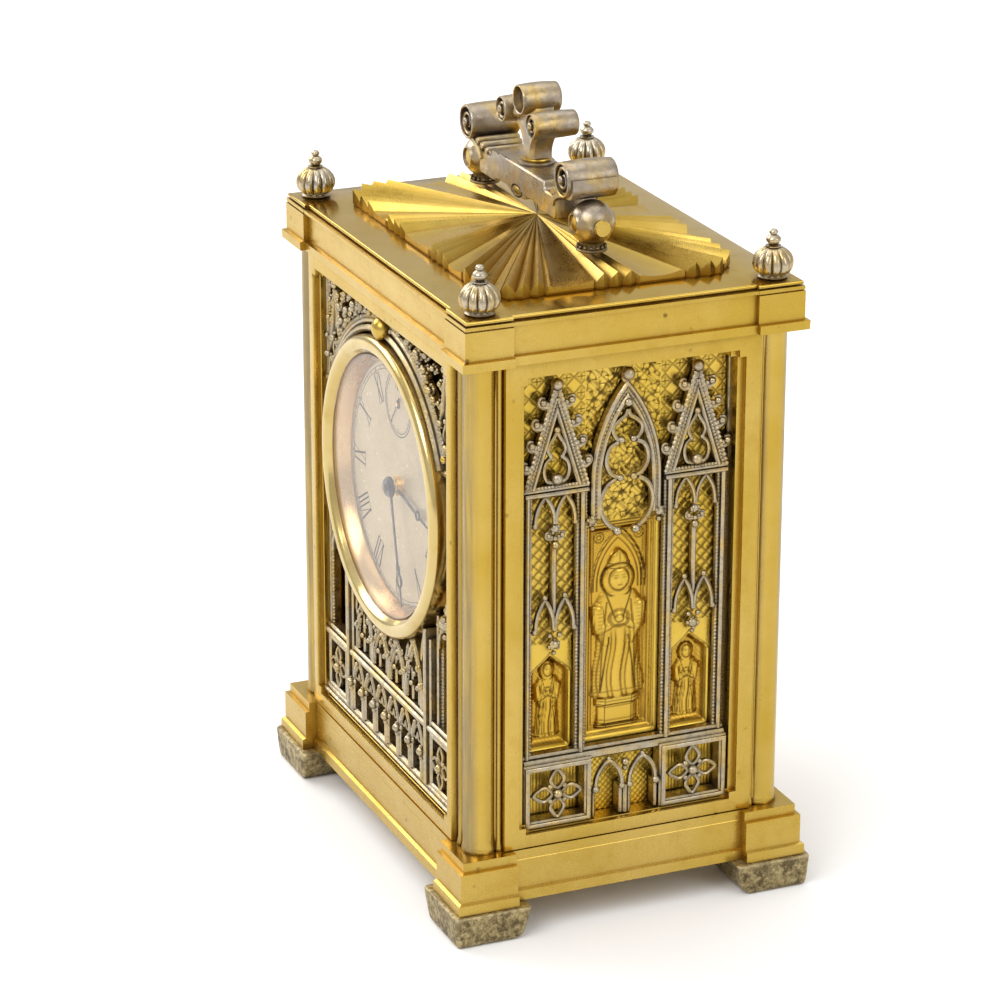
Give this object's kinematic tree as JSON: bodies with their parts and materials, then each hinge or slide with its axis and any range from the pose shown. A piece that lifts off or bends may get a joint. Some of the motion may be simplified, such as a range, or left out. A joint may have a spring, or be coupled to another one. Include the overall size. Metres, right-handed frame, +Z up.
{
  "type": "carriage clock",
  "caption": "Gothic gilt-brass carriage clock: tracery panels, round dial, sunburst top with folding scroll handle, rear door, going movement.",
  "frame": {"origin": "centre of the four feet's ground contact, at floor level", "axes": "-Y is the way the dial faces, +X is the right-hand side seen from the dial, +Z is up"},
  "size_m": [0.1, 0.0754, 0.1543],
  "materials": {
    "aged_bronze": "mottled patina",
    "blued_steel": "blued",
    "bright_steel": "polished",
    "clear_glass": "clear",
    "dial_silver": "matt silvered",
    "gilt_brass": "polished gilt",
    "movement_brass": "satin",
    "silvered_brass": "worn silvering over brass"
  },
  "bodies": {
    "case": {"base_plate": "gilt_brass", "base_plinth": "gilt_brass", "column_front_left": "silvered_brass", "column_front_right": "silvered_brass", "column_rear_left": "silvered_brass", "column_rear_right": "silvered_brass", "cornice": "gilt_brass", "dial": "dial_silver", "dial_bezel": "gilt_brass", "dial_glass": "clear_glass", "dial_surround": "gilt_brass", "finial_front_left": "silvered_brass", "finial_front_right": "silvered_brass", "finial_rear_left": "silvered_brass", "finial_rear_right": "silvered_brass", "foot_front_left": "aged_bronze", "foot_front_right": "aged_bronze", "foot_rear_left": "aged_bronze", "foot_rear_right": "aged_bronze", "front_frame": "gilt_brass", "front_tracery": "silvered_brass", "handle_post_left": "silvered_brass", "handle_post_right": "silvered_brass", "hinge_pin_lower": "bright_steel", "hinge_pin_upper": "bright_steel", "left_engraved_panel": "gilt_brass", "left_frame": "gilt_brass", "left_tracery": "silvered_brass", "movement_back_plate": "movement_brass", "movement_front_plate": "movement_brass", "pillar_lower_left": "movement_brass", "pillar_lower_right": "movement_brass", "pillar_upper_left": "movement_brass", "pillar_upper_right": "movement_brass", "pivot_screw_left": "bright_steel", "pivot_screw_right": "bright_steel", "right_engraved_panel": "gilt_brass", "right_frame": "gilt_brass", "right_tracery": "silvered_brass", "top_fan": "gilt_brass", "top_plate": "gilt_brass"},
    "handle": {"handle": "silvered_brass"},
    "rear_door": {"rear_door": "gilt_brass", "rear_door_knob": "gilt_brass"},
    "going_barrel": {"mainspring_barrel": "movement_brass"},
    "winding_arbor": {"winding_arbor": "bright_steel", "ratchet_wheel": "bright_steel"},
    "click": {"click": "bright_steel"},
    "centre_wheel": {"centre_wheel": "movement_brass"},
    "third_wheel": {"third_wheel": "movement_brass"},
    "fourth_wheel": {"fourth_wheel": "movement_brass", "seconds_hand": "blued_steel"},
    "escape_wheel": {"escape_wheel": "movement_brass"},
    "pallet_lever": {"pallet_lever": "bright_steel"},
    "balance": {"balance_wheel": "movement_brass"},
    "minute_hand": {"cannon_pinion": "bright_steel", "minute_hand": "blued_steel"},
    "minute_wheel": {"minute_wheel": "movement_brass"},
    "hour_hand": {"hour_wheel": "movement_brass", "hour_hand": "blued_steel"}
  },
  "joints": [
    {"name": "handle_fold", "type": "hinge", "parent": "case", "child": "handle", "pos_m": [0, 0, 0.1334], "axis": [1, 0, 0], "range_deg": [-85, 85]},
    {"name": "rear_door_hinge", "type": "hinge", "parent": "case", "child": "rear_door", "pos_m": [-0.0357, 0.0319, 0.064], "axis": [0, 0, 1], "range_deg": [0, 105]},
    {"name": "fourth_wheel_turn", "type": "hinge", "parent": "case", "child": "fourth_wheel", "pos_m": [0, 0, 0.093], "axis": [0, 1, 0], "continuous": true},
    {"name": "third_wheel_turn", "type": "hinge", "parent": "case", "child": "third_wheel", "pos_m": [-0.00922, 0, 0.08616], "axis": [0, 1, 0], "continuous": true},
    {"name": "centre_wheel_turn", "type": "hinge", "parent": "case", "child": "centre_wheel", "pos_m": [0, 0, 0.0763], "axis": [0, 1, 0], "continuous": true},
    {"name": "barrel_turn", "type": "hinge", "parent": "case", "child": "going_barrel", "pos_m": [0, 0, 0.0553], "axis": [0, 1, 0], "continuous": true},
    {"name": "escape_wheel_turn", "type": "hinge", "parent": "case", "child": "escape_wheel", "pos_m": [0.00826, 0, 0.09996], "axis": [0, 1, 0], "continuous": true},
    {"name": "winding", "type": "hinge", "parent": "case", "child": "winding_arbor", "pos_m": [0, 0, 0.0553], "axis": [0, 1, 0], "continuous": true},
    {"name": "click_lift", "type": "hinge", "parent": "case", "child": "click", "pos_m": [0.0094, 0, 0.0589], "axis": [0, 1, 0], "range_deg": [0, 12]},
    {"name": "pallet_rock", "type": "hinge", "parent": "case", "child": "pallet_lever", "pos_m": [0.00115, 0, 0.10404], "axis": [0, 1, 0], "range_deg": [-5, 5]},
    {"name": "balance_swing", "type": "hinge", "parent": "case", "child": "balance", "pos_m": [-0.00682, 0, 0.10478], "axis": [0, 1, 0], "range_deg": [-150, 150]},
    {"name": "minute_hand_turn", "type": "hinge", "parent": "case", "child": "minute_hand", "pos_m": [0, 0, 0.0763], "axis": [0, 1, 0], "continuous": true},
    {"name": "minute_wheel_turn", "type": "hinge", "parent": "case", "child": "minute_wheel", "pos_m": [0.0072, 0, 0.0763], "axis": [0, 1, 0], "continuous": true},
    {"name": "hour_hand_turn", "type": "hinge", "parent": "case", "child": "hour_hand", "pos_m": [0, 0, 0.0763], "axis": [0, 1, 0], "continuous": true}
  ],
  "couplings": [
    {"joint": "third_wheel_turn", "follows": "fourth_wheel_turn", "ratio": -0.13333},
    {"joint": "centre_wheel_turn", "follows": "fourth_wheel_turn", "ratio": 0.016667},
    {"joint": "barrel_turn", "follows": "fourth_wheel_turn", "ratio": -0.0027778},
    {"joint": "escape_wheel_turn", "follows": "fourth_wheel_turn", "ratio": -8},
    {"joint": "minute_wheel_turn", "follows": "minute_hand_turn", "ratio": -0.33333},
    {"joint": "hour_hand_turn", "follows": "minute_hand_turn", "ratio": 0.083333}
  ]
}
